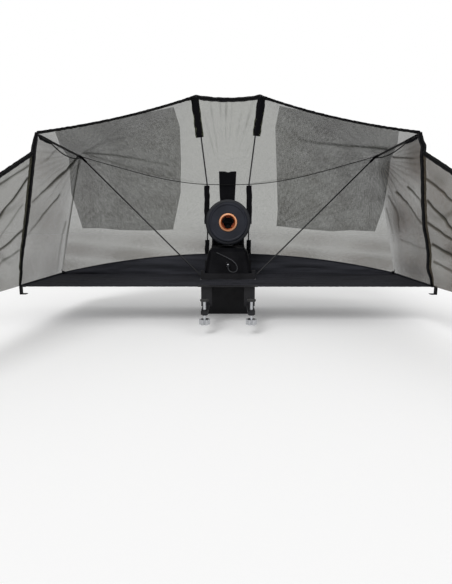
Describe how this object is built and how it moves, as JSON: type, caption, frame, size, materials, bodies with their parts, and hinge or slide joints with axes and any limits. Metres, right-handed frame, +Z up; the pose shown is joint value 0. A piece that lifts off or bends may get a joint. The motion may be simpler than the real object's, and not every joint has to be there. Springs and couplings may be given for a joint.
{
  "type": "table tennis robot",
  "caption": "Ball-throwing robot for table tennis: clamps to the table end, with an aiming head, hopper base and a wide mesh net that catches the returns",
  "frame": {"origin": "the underside of the support's lip, at the table's end edge on the robot's centre plane", "axes": "+X to the right as the player sees the robot, +Y away from the player, +Z up; the table top is the plane Z = 0"},
  "size_m": [1.557, 1.3942, 0.9073],
  "materials": {
    "head_plastic": "fine-grained dark blue-grey moulded plastic",
    "disc_plastic": "satin dark grey moulded plastic",
    "orange_plastic": "semi-gloss orange moulded plastic",
    "base_plastic": "fine-grained black moulded plastic",
    "tub_plastic": "black moulded plastic",
    "inner_plastic": "natural grey inner mouldings",
    "gear_plastic": "off-white acetal gears",
    "motor_metal": "plain drawn steel motor cans",
    "steel_rod": "ground steel",
    "frame_paint": "black powder coat",
    "grip_rubber": "black rubber",
    "wheel_rubber": "soft throw wheel rubber",
    "circuit_board": "green circuit board",
    "net_mesh": "fine pale grey-green netting",
    "double_mesh": "two layers of the netting",
    "tray_cloth": "dense black woven cloth",
    "binding_cloth": "black bias binding",
    "black_rod": "black fibreglass",
    "elastic": "black braided elastic cord",
    "lead_sheath": "light grey cable sheath",
    "plug_metal": "bright plated plug"
  },
  "bodies": {
    "base": {"motor_shelf": "inner_plastic", "pan_motor": "motor_metal", "base_cover": "base_plastic", "hopper_tub": "tub_plastic", "net_socket_bar": "tub_plastic", "feed_tube": "inner_plastic", "gear_plate": "inner_plastic", "feed_motor": "motor_metal", "lower_case": "tub_plastic", "power_inlet": "tub_plastic", "control_board": "circuit_board", "support_frame": "frame_paint", "upright_rods": "black_rod", "diagonal_rods": "black_rod", "side_arm_rods": "black_rod", "net_elbows": "base_plastic", "net_back": "net_mesh", "net_sides": "net_mesh", "net_wings": "net_mesh", "net_hood": "net_mesh", "dense_patches": "double_mesh", "tray_floor": "tray_cloth", "tray_wall": "tray_cloth", "edge_bindings": "binding_cloth", "wing_bindings": "binding_cloth", "table_clips": "base_plastic", "rod_sleeves": "binding_cloth", "centre_strap": "binding_cloth", "tension_cord": "elastic", "head_lead": "lead_sheath", "lead_plug": "plug_metal"},
    "head_pan": {"head_yoke": "base_plastic", "yoke_tube": "inner_plastic", "tilt_motor": "motor_metal", "pan_gear": "gear_plastic"},
    "head_tilt": {"head_drum": "head_plastic", "head_front_disc": "disc_plastic", "outlet_ring": "orange_plastic", "head_rear_cover": "head_plastic", "wheel_carrier": "inner_plastic", "ball_deflector": "inner_plastic", "throw_motors": "motor_metal", "tilt_pins": "steel_rod", "tilt_gear": "gear_plastic"},
    "tilt_pinion": {"tilt_pinion": "gear_plastic"},
    "pan_pinion": {"pan_pinion": "gear_plastic"},
    "throw_wheel_1": {"wheel_hub_1": "inner_plastic", "wheel_tyre_1": "wheel_rubber"},
    "throw_wheel_2": {"wheel_hub_2": "inner_plastic", "wheel_tyre_2": "wheel_rubber"},
    "throw_wheel_3": {"wheel_hub_3": "inner_plastic", "wheel_tyre_3": "wheel_rubber"},
    "feed_wheel": {"feed_star": "inner_plastic", "feed_gear": "gear_plastic"},
    "feed_pinion": {"feed_pinion": "gear_plastic"},
    "clamp_pad_right": {"clamp_pad_right": "grip_rubber"},
    "clamp_pad_left": {"clamp_pad_left": "grip_rubber"},
    "clamp_screw_right": {"clamp_screw_right": "steel_rod"},
    "clamp_screw_left": {"clamp_screw_left": "steel_rod"},
    "power_rocker": {"power_rocker": "tub_plastic"}
  },
  "joints": [
    {"name": "head_pan", "type": "hinge", "parent": "base", "child": "head_pan", "pos_m": [0, 0.305, 0.121], "axis": [0, 0, 1], "range_deg": [-35, 35]},
    {"name": "pan_pinion_turn", "type": "hinge", "parent": "base", "child": "pan_pinion", "pos_m": [0.0525, 0.305, 0.105], "axis": [0, 0, 1], "range_deg": [-140, 140]},
    {"name": "head_tilt", "type": "hinge", "parent": "head_pan", "child": "head_tilt", "pos_m": [0, 0.305, 0.2345], "axis": [-1, 0, 0], "range_deg": [-8, 22]},
    {"name": "tilt_pinion_turn", "type": "hinge", "parent": "head_pan", "child": "tilt_pinion", "pos_m": [0.075, 0.32197, 0.21753], "axis": [-1, 0, 0], "range_deg": [-66, 24]},
    {"name": "throw_wheel_1_spin", "type": "hinge", "parent": "head_tilt", "child": "throw_wheel_1", "pos_m": [0, 0.243, 0.281], "axis": [1, 0, 0], "continuous": true},
    {"name": "throw_wheel_2_spin", "type": "hinge", "parent": "head_tilt", "child": "throw_wheel_2", "pos_m": [0.04027, 0.243, 0.21125], "axis": [-0.5, 0, -0.866], "continuous": true},
    {"name": "throw_wheel_3_spin", "type": "hinge", "parent": "head_tilt", "child": "throw_wheel_3", "pos_m": [-0.04027, 0.243, 0.21125], "axis": [-0.5, 0, 0.866], "continuous": true},
    {"name": "feed_turn", "type": "hinge", "parent": "base", "child": "feed_wheel", "pos_m": [0, 0.255, -0.06], "axis": [0, 0, 1], "continuous": true},
    {"name": "feed_pinion_turn", "type": "hinge", "parent": "base", "child": "feed_pinion", "pos_m": [-0.039, 0.255, -0.085], "axis": [0, 0, 1], "continuous": true},
    {"name": "power_switch", "type": "hinge", "parent": "base", "child": "power_rocker", "pos_m": [0.091, 0.34, -0.115], "axis": [0, 0, 1], "range_deg": [0, 14.5]},
    {"name": "clamp_right", "type": "slide", "parent": "base", "child": "clamp_pad_right", "axis": [0, 0, 1], "range_m": [-0.015, 0.006]},
    {"name": "clamp_right_knob", "type": "hinge", "parent": "clamp_pad_right", "child": "clamp_screw_right", "pos_m": [0.08, -0.138, -0.09], "axis": [0, 0, 1], "range_deg": [-1801, 721]},
    {"name": "clamp_left", "type": "slide", "parent": "base", "child": "clamp_pad_left", "axis": [0, 0, 1], "range_m": [-0.015, 0.006]},
    {"name": "clamp_left_knob", "type": "hinge", "parent": "clamp_pad_left", "child": "clamp_screw_left", "pos_m": [-0.08, -0.138, -0.09], "axis": [0, 0, 1], "range_deg": [-1801, 721]}
  ],
  "couplings": [
    {"joint": "pan_pinion_turn", "follows": "head_pan", "ratio": -4},
    {"joint": "tilt_pinion_turn", "follows": "head_tilt", "ratio": -3},
    {"joint": "feed_pinion_turn", "follows": "feed_turn", "ratio": -3.3333},
    {"joint": "clamp_right_knob", "follows": "clamp_right", "rad_per_m": 2094.4},
    {"joint": "clamp_left_knob", "follows": "clamp_left", "rad_per_m": 2094.4}
  ]
}
